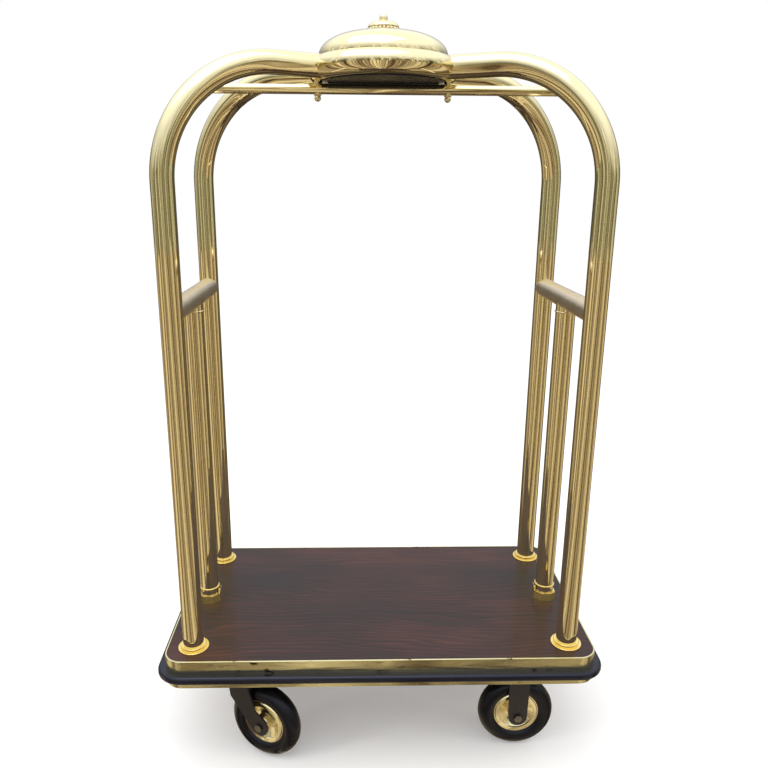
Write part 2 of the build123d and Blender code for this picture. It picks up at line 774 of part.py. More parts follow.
# ---------------------------------------------------------------- swivel casters
pin_bottom = crown_bottom - king_nut_height
race_bottom = plate_bottom - race_height
ball_radius = (race_bottom - crown_top) / 2 - ball_gap


def tangent_point(point, centre, radius, side):
    """Where a line from point touches the circle, on the left (1) or right (-1) of the line."""
    away = Vector(point[0] - centre[0], point[1] - centre[1], 0)
    lean = degrees(acos(radius / away.length)) * side
    touch = away.normalized().rotate(Axis.Z, lean) * radius
    return (centre[0] + touch.X, centre[1] + touch.Y)


def swivel_leg():
    """Outline of a raked leg: s is measured from the king pin along the caster, z from the floor."""
    axle_at = (swivel_lead, wheel_radius)
    front_knee = (leg_front_knee[0], wheel_radius + leg_front_knee[1])
    back_knee = (leg_back_knee[0], wheel_radius + leg_back_knee[1])
    front_touch = tangent_point(front_knee, axle_at, leg_end_radius, 1)
    back_touch = tangent_point(back_knee, axle_at, leg_end_radius, -1)
    rim = Vector(leg_end_radius, 0, 0).rotate(Axis.Z, leg_end_side)
    with BuildSketch() as leg:
        with BuildLine():
            Polyline(
                front_touch,
                front_knee,
                (-leg_front_top, crown_bottom),
                (leg_back_top, crown_bottom),
                back_knee,
                back_touch,
            )
            ThreePointArc(back_touch, (axle_at[0] + rim.X, axle_at[1] + rim.Y), front_touch)
        make_face()
        with Locations(axle_at):
            Circle(axle_radius, mode=Mode.SUBTRACT)
    return leg.sketch


for name, (y, heading) in swivel_casters.items():
    along = Vector(cos(radians(heading)), sin(radians(heading)), 0)
    centre = Vector(swivel_x, y, 0) + along * swivel_lead

    with BuildPart() as top_plate:
        extrude(caster_plate(swivel_x, y), amount=top_plate_thickness)
        with BuildSketch(Plane.XY.offset(race_bottom)):
            with Locations((swivel_x, y)):
                Circle(race_radius)
        extrude(amount=race_height)
        with BuildSketch(Plane.XY.offset(race_bottom)):
            with Locations((swivel_x, y)):
                Circle(king_pin_radius)
        extrude(amount=race_height + top_plate_thickness, mode=Mode.SUBTRACT)
    save(top_plate, f"top_plate_{name}")

    with BuildPart() as bearing_balls:
        with Locations((swivel_x, y, (race_bottom + crown_top) / 2)):
            with PolarLocations(ball_circle, ball_count):
                Sphere(ball_radius)
    save(bearing_balls, f"bearing_balls_{name}")

    leg_outline = swivel_leg()
    with BuildPart() as fork:
        crown_reach = 2 * leg_outer
        crown_length = leg_front_top + leg_back_top
        crown_plane = Plane(origin=(swivel_x, y, crown_bottom), x_dir=along, z_dir=(0, 0, 1))
        with BuildSketch(crown_plane):
            Circle(fork_crown_radius)
            with Locations(((leg_back_top - leg_front_top) / 2, 0)):
                Rectangle(crown_length, crown_reach)
            Circle(king_pin_radius + running_clearance, mode=Mode.SUBTRACT)
        extrude(amount=fork_crown_thickness)
        with BuildSketch(crown_plane.offset(fork_crown_thickness)):
            Circle(fork_crown_radius)
            Circle(fork_crown_radius - fork_skirt_wall, mode=Mode.SUBTRACT)
        extrude(amount=fork_skirt)
        for offset in (-leg_inner - leg_thickness, leg_inner):
            leg_plane = side_plane(swivel_x, y, heading, offset)
            extrude(leg_plane * leg_outline, amount=leg_thickness)
    save(fork, f"fork_{name}")
    axle_pieces(name, centre.X, centre.Y, heading)
    wheel(name, centre.X, centre.Y, heading)

# ---------------------------------------------------------------- king pins and caster bolts
with BuildPart() as king_pins:
    with BuildSketch(Plane.XY.offset(pin_bottom)):
        with Locations(*swivel_places):
            Circle(king_pin_radius)
    extrude(amount=deck_bottom - pin_bottom)
    with BuildSketch(Plane.XY.offset(pin_bottom)):
        with Locations(*swivel_places):
            RegularPolygon(king_nut_flats / 2, 6, major_radius=False)
    extrude(amount=king_nut_height - king_nut_gap)
save(king_pins, "king_pins")

with BuildPart() as caster_bolts:
    with BuildSketch(Plane.XY.offset(plate_bottom - bolt_head_height)):
        with Locations(*all_bolts):
            Circle(bolt_head_radius)
    extrude(amount=bolt_head_height)
    fillet(caster_bolts.edges().group_by(Axis.Z)[0], bolt_head_round)
    with BuildSketch(Plane.XY.offset(plate_bottom)):
        with Locations(*all_bolts):
            Circle(bolt_radius)
    extrude(amount=top_plate_thickness + bolt_bite)
save(caster_bolts, "caster_bolts")
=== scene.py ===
import json
import math

import bmesh
import bpy
from mathutils import Matrix, Vector

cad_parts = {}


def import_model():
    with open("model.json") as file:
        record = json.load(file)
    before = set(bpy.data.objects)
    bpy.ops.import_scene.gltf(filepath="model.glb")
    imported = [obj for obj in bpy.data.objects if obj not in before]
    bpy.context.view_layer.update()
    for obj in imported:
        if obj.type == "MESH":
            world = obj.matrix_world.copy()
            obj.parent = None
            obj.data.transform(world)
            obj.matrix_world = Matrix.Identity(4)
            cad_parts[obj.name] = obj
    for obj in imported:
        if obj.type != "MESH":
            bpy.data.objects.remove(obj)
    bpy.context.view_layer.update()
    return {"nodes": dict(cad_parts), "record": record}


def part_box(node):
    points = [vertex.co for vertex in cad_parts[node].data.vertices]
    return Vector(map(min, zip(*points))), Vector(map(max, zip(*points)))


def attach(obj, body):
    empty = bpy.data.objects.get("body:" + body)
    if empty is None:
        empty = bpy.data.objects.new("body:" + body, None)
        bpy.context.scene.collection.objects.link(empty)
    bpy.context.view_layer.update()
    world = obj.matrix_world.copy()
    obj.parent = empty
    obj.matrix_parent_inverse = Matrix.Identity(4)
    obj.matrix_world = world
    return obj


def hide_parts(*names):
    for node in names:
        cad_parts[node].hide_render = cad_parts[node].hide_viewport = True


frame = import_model()

# Metres. The cart stands on z = 0, X runs along it, Y across it with the front at -Y.
DECK_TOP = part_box("deck_board")[1].z
TUBE_R = 0.0254
TUBE_WALL = 0.0015
BEND_R = 0.250
RING_TUBE_R = 0.0254

# The dome is a superellipse; its lip is given as (in from the edge, up from the foot).
DOME_EXPONENT = 2.4
DOME_LIP = ((0.026, 0.0012), (0.0022, 0.0009))

POST_BEAD_R = 0.0022
POST_BEAD_DROP = 0.0065
NECK_BEADS = 14
NECK_CIRCLE = 0.0086
NECK_BEAD_R = 0.0019

# Leaf on a middle socket; its outline is given as (share of half width, share of height).
EAR_WIDTH = 0.017
EAR_THICKNESS = 0.0014
EAR_SINK = 0.004
EAR_FOOT_OUT = 0.0035
EAR_TIP_OUT = 0.0012
EAR_EDGE = 0.0004
EAR_OUTLINE = ((-1.0, 0.0), (-0.92, 0.45), (-0.35, 1.0), (0.35, 1.0), (0.92, 0.45), (1.0, 0.0))

# Mesh fineness, and the angles in degrees above which an edge stays crisp.
TUBE_SIDES = 72
BEND_STEPS = 56
POST_STEPS = 6
LEVEL_STEPS = 4
PIPE_STEPS = 12
RING_SIDES = 64
CROWN_SIDES = 160
DOME_STEPS = 44
BEAD_SIDES = 12
BEAD_TURN_SIDES = 96
TUBE_CRISP = 40
EAR_CRISP = 30

CAMERA_PLACE = Vector((-0.0751, -1.7814, DECK_TOP + 1.1091))
CAMERA_YAW = 0.027
CAMERA_PITCH = 0.269
CAMERA_ROLL = 0.006
CAMERA_SHIFT_X = 0.0189
CAMERA_REACH = 60
LENS = 33.628125
SENSOR = 36.0

# What polished parts mirror: (noise value, colour) pairs for the ground and for the room round the cart.
GROUND_STREAKS = 3.4
GROUND_TONES = [
    (0.350, (0.018, 0.012, 0.008)),
    (0.430, (0.150, 0.100, 0.062)),
    (0.465, (0.560, 0.440, 0.290)),
    (0.490, (0.050, 0.034, 0.024)),
    (0.530, (0.400, 0.320, 0.210)),
    (0.565, (1.150, 0.980, 0.700)),
    (0.595, (0.190, 0.135, 0.088)),
    (0.680, (0.800, 0.660, 0.440)),
]
GROUND_BEHIND = (0.020, 0.013, 0.009)
SURROUND_STREAKS = 3.6
SURROUND_TONES = [
    (0.350, (0.016, 0.013, 0.008)),
    (0.430, (0.120, 0.105, 0.058)),
    (0.465, (0.480, 0.460, 0.300)),
    (0.500, (0.060, 0.052, 0.032)),
    (0.550, (0.500, 0.470, 0.340)),
    (0.585, (1.100, 1.060, 0.880)),
    (0.620, (0.170, 0.150, 0.100)),
    (0.700, (0.900, 0.860, 0.720)),
]
SKY = (1.26, 1.29, 1.36)
FLOOR_HALF_SIDE = 14.0


# ---------------------------------------------------------------- node helpers
class Tree:
    """A short way to write a node tree."""

    def __init__(self, tree):
        self.tree = tree

    def add(self, kind, **settings):
        node = self.tree.nodes.new("ShaderNode" + kind)
        for key, value in settings.items():
            setattr(node, key, value)
        return node

    def link(self, source, target):
        self.tree.links.new(source, target)

    def place(self, scale=(1, 1, 1), space="Object"):
        """Coordinates of a space, stretched by scale; object coordinates are metres."""
        coordinates = self.add("TexCoord")
        mapping = self.add("Mapping")
        mapping.inputs["Scale"].default_value = scale
        self.link(coordinates.outputs[space], mapping.inputs["Vector"])
        return mapping.outputs["Vector"]

    def split(self, vector):
        """The X, Y and Z outputs of a vector."""
        node = self.add("SeparateXYZ")
        self.link(vector, node.inputs["Vector"])
        return node.outputs

    def noise(self, vector, scale, detail, rough, distort=0.0):
        node = self.add("TexNoise")
        node.inputs["Scale"].default_value = scale
        node.inputs["Detail"].default_value = detail
        node.inputs["Roughness"].default_value = rough
        node.inputs["Distortion"].default_value = distort
        self.link(vector, node.inputs["Vector"])
        return node.outputs["Fac"]

    def spread(self, value, low, high, out_low=0.0, out_high=1.0):
        """Stretch low..high to out_low..out_high and hold it there."""
        node = self.add("MapRange")
        for key, number in (("From Min", low), ("From Max", high), ("To Min", out_low), ("To Max", out_high)):
            node.inputs[key].default_value = number
        self.link(value, node.inputs["Value"])
        return node.outputs["Result"]

    def ramp(self, value, stops):
        node = self.add("ValToRGB")
        elements = node.color_ramp.elements
        while len(elements) < len(stops):
            elements.new(0.5)
        for element, (position, color) in zip(elements, stops):
            element.position = position
            element.color = (*color, 1)
        self.link(value, node.inputs["Fac"])
        return node.outputs["Color"]

    def fill(self, socket, value):
        """Give a socket a colour, a number or a link."""
        if isinstance(value, tuple):
            socket.default_value = (*value, 1)
        elif isinstance(value, (int, float)):
            socket.default_value = value
        else:
            self.link(value, socket)

    def math(self, operation, a, b):
        node = self.add("Math", operation=operation)
        for socket, value in zip(node.inputs, (a, b)):
            self.fill(socket, value)
        return node.outputs["Value"]

    def times(self, a, b):
        return self.math("MULTIPLY", a, b)

    def weigh(self, *parts):
        """Sum of (value, share) pairs."""
        total = None
        for value, share in parts:
            part = self.times(value, share)
            total = part if total is None else self.math("ADD", total, part)
        return total

    def mix(self, factor, a, b):
        node = self.add("Mix", data_type="RGBA")
        for key, value in (("Factor", factor), ("A", a), ("B", b)):
            self.fill(node.inputs[key], value)
        return [o for o in node.outputs if o.type == "RGBA"][0]

    def for_mirrors(self, plain, mirrored, output):
        """Show one shader in reflections and another to everything else."""
        path = self.add("LightPath")
        choose = self.add("MixShader")
        self.link(path.outputs["Is Glossy Ray"], choose.inputs["Fac"])
        self.link(plain, choose.inputs[1])
        self.link(mirrored, choose.inputs[2])
        self.link(choose.outputs["Shader"], output.inputs["Surface"])


class Finish(Tree):
    """A material with one Principled shader."""

    def __init__(self, name):
        self.material = bpy.data.materials.new(name)
        self.material.use_nodes = True
        super().__init__(self.material.node_tree)
        self.shader = self.tree.nodes["Principled BSDF"]

    def bump(self, height, strength, distance):
        """Add relief on top of the relief that is there."""
        node = self.add("Bump")
        node.inputs["Strength"].default_value = strength
        node.inputs["Distance"].default_value = distance
        self.link(height, node.inputs["Height"])
        normal = self.shader.inputs["Normal"]
        if normal.is_linked:
            self.link(normal.links[0].from_socket, node.inputs["Normal"])
        self.link(node.outputs["Normal"], normal)

    def set(self, **values):
        for key, value in values.items():
            self.fill(self.shader.inputs[key.replace("_", " ")], value)


# ---------------------------------------------------------------- materials
def brass(name, roughness=(0.03, 0.10), tint=(0.87, 0.77, 0.47), tarnish=(0.60, 0.46, 0.22), wave=0.25):
    """Polished lacquered brass: hand-buffed waviness, wipe marks and a little tarnish in patches."""
    f = Finish(name)
    here = f.place()
    cloud = f.noise(here, scale=9.0, detail=5.0, rough=0.6)
    specks = f.noise(here, scale=160.0, detail=3.0, rough=0.7)
    patch = f.times(f.spread(cloud, 0.50, 0.72), f.spread(specks, 0.45, 0.70, 0.25, 1.0))
    f.set(Base_Color=f.mix(f.times(patch, 0.35), tint, tarnish), Metallic=1.0)
    smear = f.noise(f.place((1, 1, 0.25)), scale=34.0, detail=6.0, rough=0.65, distort=0.4)
    f.set(Roughness=f.spread(smear, 0.3, 0.75, *roughness))
    buffing = f.noise(here, scale=14.0, detail=2.0, rough=0.4)
    hairlines = f.noise(f.place((1, 1, 0.1)), scale=420.0, detail=2.0, rough=0.5)
    f.bump(buffing, strength=wave, distance=0.0006)
    f.bump(hairlines, strength=0.06, distance=0.0001)
    return f.material


def rim_brass(name):
    """Rolled edge band: long shallow waves, and the lacquer scuffed dark in short runs along it."""
    f = Finish(name)
    scuffs = f.spread(f.noise(f.place((26, 26, 90)), scale=1.0, detail=4.0, rough=0.65), 0.60, 0.66)
    patches = f.spread(f.noise(f.place((5, 5, 5)), scale=1.0, detail=2.0, rough=0.5), 0.50, 0.60)
    lines = f.noise(f.place((2, 2, 60)), scale=1.0, detail=3.0, rough=0.5)
    tone = f.mix(lines, (0.80, 0.72, 0.42), (0.62, 0.60, 0.36))
    f.set(Base_Color=f.mix(f.times(scuffs, patches), tone, (0.07, 0.055, 0.03)), Metallic=1.0)
    smear = f.noise(f.place((8, 8, 80)), scale=2.0, detail=4.0, rough=0.6)
    f.set(Roughness=f.spread(smear, 0.3, 0.7, 0.14, 0.28))
    rolling = f.noise(f.place((3.5, 3.5, 45)), scale=1.0, detail=2.0, rough=0.4)
    dents = f.noise(f.place(), scale=90.0, detail=2.0, rough=0.5)
    f.bump(rolling, strength=0.9, distance=0.003)
    f.bump(dents, strength=0.15, distance=0.0004)
    return f.material


def wood_veneer(name):
    """Dark stained oak veneer under clear lacquer: grain along X that drifts a little across it."""
    f = Finish(name)
    drift = f.noise(f.place((0.9, 3.2, 1)), scale=1.5, detail=2.0, rough=0.45)
    sideways = f.add("CombineXYZ")
    f.link(f.times(drift, 2.4), sideways.inputs["Y"])
    shifted = f.add("VectorMath", operation="ADD")
    f.link(f.place((0.35, 9.5, 1.0)), shifted.inputs[0])
    f.link(sideways.outputs["Vector"], shifted.inputs[1])
    bands = f.add("TexWave", wave_type="BANDS", bands_direction="Y", wave_profile="SAW")
    for key, number in (("Scale", 2.3), ("Distortion", 0.8), ("Detail", 3.0), ("Detail Scale", 1.6)):
        bands.inputs[key].default_value = number
    f.link(shifted.outputs["Vector"], bands.inputs["Vector"])
    streak = f.noise(f.place((1.2, 70.0, 1)), scale=3.0, detail=5.0, rough=0.62, distort=0.12)
    comb = f.noise(f.place((2.6, 190.0, 1)), scale=1.6, detail=4.0, rough=0.6, distort=0.08)
    patch = f.noise(f.place((1.0, 2.4, 1)), scale=2.6, detail=3.0, rough=0.55)
    pores = f.noise(f.place((9.0, 560.0, 1)), scale=1.0, detail=2.0, rough=0.5)
    stain = f.ramp(
        f.weigh((bands.outputs["Fac"], 0.10), (streak, 0.27), (comb, 0.20), (patch, 0.42)),
        [
            (0.36, (0.0095, 0.0052, 0.0062)),
            (0.46, (0.0230, 0.0078, 0.0064)),
            (0.55, (0.0480, 0.0130, 0.0084)),
            (0.66, (0.0980, 0.0300, 0.0175)),
        ],
    )
    f.set(Base_Color=f.mix(f.times(f.spread(pores, 0.56, 0.66), 0.55), stain, (0.008, 0.004, 0.004)))
    f.set(Roughness=f.spread(streak, 0.3, 0.7, 0.36, 0.50), Specular_IOR_Level=0.22)
    f.set(Coat_Weight=0.42, Coat_Roughness=0.17, Coat_IOR=1.36)
    f.bump(pores, strength=0.25, distance=0.0002)
    f.bump(streak, strength=0.12, distance=0.0003)
    return f.material


def core_wood(name):
    """Bare plywood: thin layers seen at the edges and grain along X."""
    f = Finish(name)
    layers = f.noise(f.place((3, 3, 160)), scale=2.0, detail=2.0, rough=0.5)
    grain = f.noise(f.place((4, 90, 4)), scale=2.0, detail=4.0, rough=0.6)
    tone = f.weigh((layers, 0.5), (grain, 0.5))
    f.set(Base_Color=f.ramp(tone, [(0.3, (0.10, 0.055, 0.028)), (0.7, (0.25, 0.155, 0.080))]))
    f.set(Roughness=f.spread(grain, 0.3, 0.7, 0.6, 0.8))
    f.bump(grain, strength=0.3, distance=0.0006)
    return f.material


def rubber(name, base, dust, roughness, gloss, sheen):
    """Moulded black rubber with a fine skin and some dust held in it."""
    f = Finish(name)
    here = f.place()
    cloud = f.noise(here, scale=7.0, detail=5.0, rough=0.6)
    fine = f.noise(here, scale=260.0, detail=3.0, rough=0.6)
    moulding = f.noise(here, scale=24.0, detail=3.0, rough=0.5)
    dusty = f.times(f.spread(cloud, 0.45, 0.75), f.spread(fine, 0.35, 0.75))
    f.set(Base_Color=f.mix(f.times(dusty, 0.25), base, dust))
    f.set(Roughness=f.spread(cloud, 0.3, 0.75, *roughness))
    f.set(Specular_IOR_Level=gloss, Specular_Tint=sheen)
    f.bump(fine, strength=0.10, distance=0.0003)
    f.bump(moulding, strength=0.12, distance=0.0006)
    return f.material


def paint(name, base, edge, roughness=(0.38, 0.52)):
    """Sprayed enamel with orange peel, thin dust and rubbed spots."""
    f = Finish(name)
    here = f.place()
    cloud = f.noise(here, scale=16.0, detail=5.0, rough=0.6)
    specks = f.noise(here, scale=240.0, detail=2.0, rough=0.5)
    peel = f.noise(here, scale=520.0, detail=2.0, rough=0.5)
    rubbed = f.times(f.spread(cloud, 0.52, 0.74), f.spread(specks, 0.50, 0.70))
    f.set(Base_Color=f.mix(f.times(rubbed, 0.6), base, edge), Specular_IOR_Level=0.32)
    f.set(Roughness=f.spread(cloud, 0.3, 0.7, *roughness))
    f.bump(peel, strength=0.12, distance=0.0002)
    return f.material


def steel(name, base, roughness=(0.22, 0.40)):
    """Plated or blacked steel, dulled in small clouds and lightly brushed."""
    f = Finish(name)
    here = f.place()
    cloud = f.noise(here, scale=40.0, detail=4.0, rough=0.6)
    smear = f.noise(here, scale=90.0, detail=4.0, rough=0.6)
    brushing = f.noise(f.place((1, 1, 4)), scale=300.0, detail=2.0, rough=0.5)
    dulled = tuple(c * 0.45 for c in base)
    f.set(Base_Color=f.mix(f.spread(cloud, 0.45, 0.75, 0.0, 0.5), base, dulled), Metallic=1.0)
    f.set(Roughness=f.spread(smear, 0.3, 0.7, *roughness))
    f.bump(brushing, strength=0.08, distance=0.0002)
    return f.material


BRASS = brass("brass_polished")
BRASS_RIM = rim_brass("brass_rim")
BRASS_RAIL = brass("brass_rail", (0.30, 0.40), (1.0, 0.87, 0.66), (0.80, 0.64, 0.44), wave=0.4)
BRASS_HUB = brass("brass_hub", (0.12, 0.26), (0.94, 0.86, 0.56), (0.56, 0.44, 0.20), wave=0.35)
BRASS_FLANGE = brass("brass_flange", (0.10, 0.20), (0.90, 0.70, 0.27), (0.52, 0.36, 0.12), wave=0.2)
BRONZE = brass("bronze_bush", (0.28, 0.42), (0.50, 0.34, 0.18), (0.25, 0.16, 0.08), wave=0.2)
WOOD = wood_veneer("wood_veneer")
CORE = core_wood("wood_core")
BUMPER = rubber(
    "rubber_bumper", (0.004, 0.004, 0.008), (0.030, 0.031, 0.050), (0.18, 0.32), 0.50, (0.72, 0.75, 1.0)
)
TYRE = rubber(
    "rubber_tyre", (0.003, 0.003, 0.004), (0.022, 0.022, 0.028), (0.20, 0.34), 0.30, (0.80, 0.82, 1.0)
)
PAINT = paint("paint_caster", (0.022, 0.017, 0.015), (0.075, 0.062, 0.052))
PAN = paint("paint_pan", (0.012, 0.012, 0.014), (0.05, 0.05, 0.055), (0.22, 0.34))
STEEL_DARK = steel("steel_black", (0.20, 0.19, 0.18))
STEEL_BRIGHT = steel("steel_zinc", (0.72, 0.72, 0.70), (0.18, 0.32))

SLOT_MATERIALS = {
    "polished_brass": BRASS,
    "hub_brass": BRASS_HUB,
    "bush_bronze": BRONZE,
    "wood_veneer": WOOD,
    "core_wood": CORE,
    "bumper_rubber": BUMPER,
    "black_tyre": TYRE,
    "caster_paint": PAINT,
    "caster_steel": STEEL_DARK,
    "bright_steel": STEEL_BRIGHT,
    "black_pan": PAN,
}
NODE_MATERIALS = {
    "deck_rim": BRASS_RIM,
    "post_flanges": BRASS_FLANGE,
    "mid_post_sockets": BRASS_FLANGE,
    "mid_post_collars": BRASS_FLANGE,
}
NODE_SLOTS = {part["node"]: part["material_slot"] for part in frame["record"]["subparts"]}
NODE_BODIES = {
    node: body for body, nodes in frame["record"]["behaviour"]["bodies"].items() for node in nodes
}


def dress_cad_nodes():
    """Every CAD node takes the material of its slot; the rim and the tube feet have their own brass."""
    for node, piece in frame["nodes"].items():
        material = NODE_MATERIALS.get(node) or SLOT_MATERIALS[NODE_SLOTS[node]]
        piece.data.materials.clear()
        piece.data.materials.append(material)


# ---------------------------------------------------------------- mesh helpers
def keep(mesh, name, node, material, replaces=False, crisp=None):
    """Finish a mesh as a piece on the body of a CAD node with the given material, in its place or beside it.
    """
    piece = bpy.data.objects.new(name, mesh)
    bpy.context.scene.collection.objects.link(piece)
    mesh.materials.append(material)
    for polygon in mesh.polygons:
        polygon.use_smooth = True
    if crisp:
        mesh.set_sharp_from_angle(angle=math.radians(crisp))
    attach(piece, NODE_BODIES[node])
    if replaces:
        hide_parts(node)
    return piece


def finish_mesh(bm, name):
    mesh = bpy.data.meshes.new(name)
    bm.to_mesh(mesh)
    bm.free()
    return mesh


def skin(rings, closed_path=False):
    """A mesh through closed rings of points; the last joins the first, or both ends are capped."""
    bm = bmesh.new()
    rows = [[bm.verts.new(point) for point in ring] for ring in rings]
    count = len(rows[0])
    spans = len(rows) if closed_path else len(rows) - 1
    for i in range(spans):
        a, b = rows[i], rows[(i + 1) % len(rows)]
        for j in range(count):
            k = (j + 1) % count
            bm.faces.new((a[j], a[k], b[k], b[j]))
    if not closed_path:
        bm.faces.new(list(reversed(rows[0])))
        bm.faces.new(rows[-1])
    bmesh.ops.recalc_face_normals(bm, faces=bm.faces)
    return finish_mesh(bm, "skin")


def circle(radius, sides):
    """(cosine, sine) points of a circle."""
    turns = [2 * math.pi * i / sides for i in range(sides)]
    return [(radius * math.cos(turn), radius * math.sin(turn)) for turn in turns]


def tube_mesh(path, radius, wall):
    """A hollow tube along a path of points, open at both ends with its wall showing."""
    frames = []
    side = None
    for i, point in enumerate(path):
        ahead = (path[min(i + 1, len(path) - 1)] - path[max(i - 1, 0)]).normalized()
        if side is None:
            helper = Vector((0, 0, 1)) if abs(ahead.z) < 0.9 else Vector((1, 0, 0))
            side = ahead.cross(helper)
        side = (side - ahead * side.dot(ahead)).normalized()
        frames.append((point, side, side.cross(ahead)))

    def ring(place, r):
        point, side, up = place
        return [point + side * c + up * s for c, s in circle(r, TUBE_SIDES)]

    outside = [ring(place, radius) for place in frames]
    inside = [ring(place, radius - wall) for place in reversed(frames)]
    return skin(outside + inside, closed_path=True)


def lathe(profile, centre, sides, closed=True):
    """Turn (radius, height) points about the vertical through centre; closed joins last to first."""
    bm = bmesh.new()
    rows = []
    for r, h in profile:
        around = circle(r, sides) if r > 0 else [(0, 0)]
        rows.append([bm.verts.new(centre + Vector((-s, c, h))) for c, s in around])
    pairs = list(zip(rows, rows[1:]))
    if closed:
        pairs.append((rows[-1], rows[0]))
    for a, b in pairs:
        for j in range(sides):
            k = (j + 1) % sides
            corners = [a[j % len(a)], a[k % len(a)], b[k % len(b)], b[j % len(b)]]
            bm.faces.new(list(dict.fromkeys(corners)))
    bmesh.ops.recalc_face_normals(bm, faces=bm.faces)
    return finish_mesh(bm, "lathe")


def run(start, end, steps):
    """Evenly spaced points from start to end."""
    return [start.lerp(end, i / steps) for i in range(steps + 1)]


# ---------------------------------------------------------------- tubes
def build_arches():
    """The four bent corner tubes, smooth along the bend and run into the crown ring."""
    ring_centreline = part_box("crown_ring")[1].x - RING_TUBE_R
    for place in ("front_left", "rear_left", "front_right", "rear_right"):
        node = f"arch_tube_{place}"
        low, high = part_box(node)
        x = low.x + TUBE_R if "left" in place else high.x - TUBE_R
        y = low.y + TUBE_R if "front" in place else high.y - TUBE_R
        level = high.z - TUBE_R
        inward = Vector((-x, -y, 0)).normalized()
        bend_start = Vector((x, y, level - BEND_R))
        centre = bend_start + inward * BEND_R
        turns = [math.pi / 2 * i / BEND_STEPS for i in range(BEND_STEPS + 1)]
        bend = [
            centre - inward * (BEND_R * math.cos(turn)) + Vector((0, 0, BEND_R * math.sin(turn)))
            for turn in turns
        ]
        end = Vector((x, y, level)) + inward * (Vector((x, y, 0)).length - ring_centreline)
        upright = run(Vector((x, y, low.z)), bend_start, POST_STEPS)[:-1]
        level_run = run(bend[-1], end, LEVEL_STEPS)[1:]
        mesh = tube_mesh(upright + bend + level_run, TUBE_R, TUBE_WALL)
        keep(mesh, f"arch_{place}", node, BRASS, replaces=True, crisp=TUBE_CRISP)


def build_crown():
    """Crown ring and dome as smooth turned skins."""
    low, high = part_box("crown_ring")
    ring_radius = high.x - RING_TUBE_R
    profile = [(ring_radius + c, s) for c, s in circle(RING_TUBE_R, RING_SIDES)]
    ring = lathe(profile, Vector((0, 0, (low.z + high.z) / 2)), CROWN_SIDES)
    keep(ring, "crown_ring_skin", "crown_ring", BRASS, replaces=True)

    low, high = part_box("crown_dome")
    radius, height = high.x, high.z - low.z
    power = 2 / DOME_EXPONENT
    turns = [math.pi / 2 * i / DOME_STEPS for i in range(DOME_STEPS)]
    outline = [(radius * math.cos(turn) ** power, height * math.sin(turn) ** power) for turn in turns]
    lip = [(radius - inset, rise) for inset, rise in DOME_LIP]
    dome = lathe(lip + outline + [(0, height)], Vector((0, 0, low.z)), CROWN_SIDES, closed=False)
    keep(dome, "crown_dome_skin", "crown_dome", BRASS, replaces=True, crisp=TUBE_CRISP)


def build_side_frames():
    """Side rails and middle posts, drawn smooth, each run to the axis of the tube that it meets."""
    for side in ("left", "right"):
        rail_node, post_node = f"side_rail_{side}", f"mid_post_{side}"
        low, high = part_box(rail_node)
        rail_radius = (high.x - low.x) / 2
        x, z = (low.x + high.x) / 2, (low.z + high.z) / 2
        arch_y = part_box(f"arch_tube_front_{side}")[0].y + TUBE_R
        path = run(Vector((x, arch_y, z)), Vector((x, -arch_y, z)), PIPE_STEPS)
        rail = tube_mesh(path, rail_radius, TUBE_WALL)
        keep(rail, f"rail_{side}", rail_node, BRASS_RAIL, replaces=True, crisp=TUBE_CRISP)

        low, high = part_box(post_node)
        post_radius = (high.x - low.x) / 2
        path = run(Vector((x, 0, low.z)), Vector((x, 0, z)), PIPE_STEPS)
        post = tube_mesh(path, post_radius, TUBE_WALL)
        keep(post, f"middle_post_{side}", post_node, BRASS, replaces=True, crisp=TUBE_CRISP)

        profile = [(post_radius + c, s) for c, s in circle(POST_BEAD_R, BEAD_SIDES)]
        bead = lathe(profile, Vector((x, 0, z - rail_radius - POST_BEAD_DROP)), BEAD_TURN_SIDES)
        keep(bead, f"post_top_bead_{side}", post_node, BRASS)


# ---------------------------------------------------------------- small pieces
def build_finial_beads():
    """A small beaded collar round the neck of the button, just above the cap."""
    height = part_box("finial_button")[0].z + NECK_BEAD_R
    bm = bmesh.new()
    for x, y in circle(NECK_CIRCLE, NECK_BEADS):
        place = Matrix.Translation(Vector((x, y, height)))
        bmesh.ops.create_icosphere(bm, subdivisions=3, radius=NECK_BEAD_R, matrix=place)
    keep(finish_mesh(bm, "neck_beads"), "finial_neck_beads", "finial_button", BRASS)


def build_socket_ears():
    """A pressed leaf on the inner side of each middle socket, folded up against the post."""
    low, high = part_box("mid_post_sockets")
    collar_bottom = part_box("mid_post_collars")[0].z
    socket_across = high.y - low.y
    for side, outward, outer_x in (("left", -1, low.x), ("right", 1, high.x)):
        x = outer_x - outward * socket_across
        foot = Vector((x + outward * EAR_FOOT_OUT, 0, high.z - EAR_SINK))
        tip = Vector((x + outward * EAR_TIP_OUT, 0, collar_bottom))
        half_width = EAR_WIDTH / 2
        rings = [
            [foot.lerp(tip, up) + Vector((shift, across * half_width, 0)) for across, up in EAR_OUTLINE]
            for shift in (0, -outward * EAR_THICKNESS)
        ]
        name = f"socket_ear_{side}"
        piece = keep(skin(rings), name, "mid_post_sockets", BRASS, crisp=EAR_CRISP)
        bevel = piece.modifiers.new("edge", "BEVEL")
        bevel.width = EAR_EDGE
        bevel.segments = 2


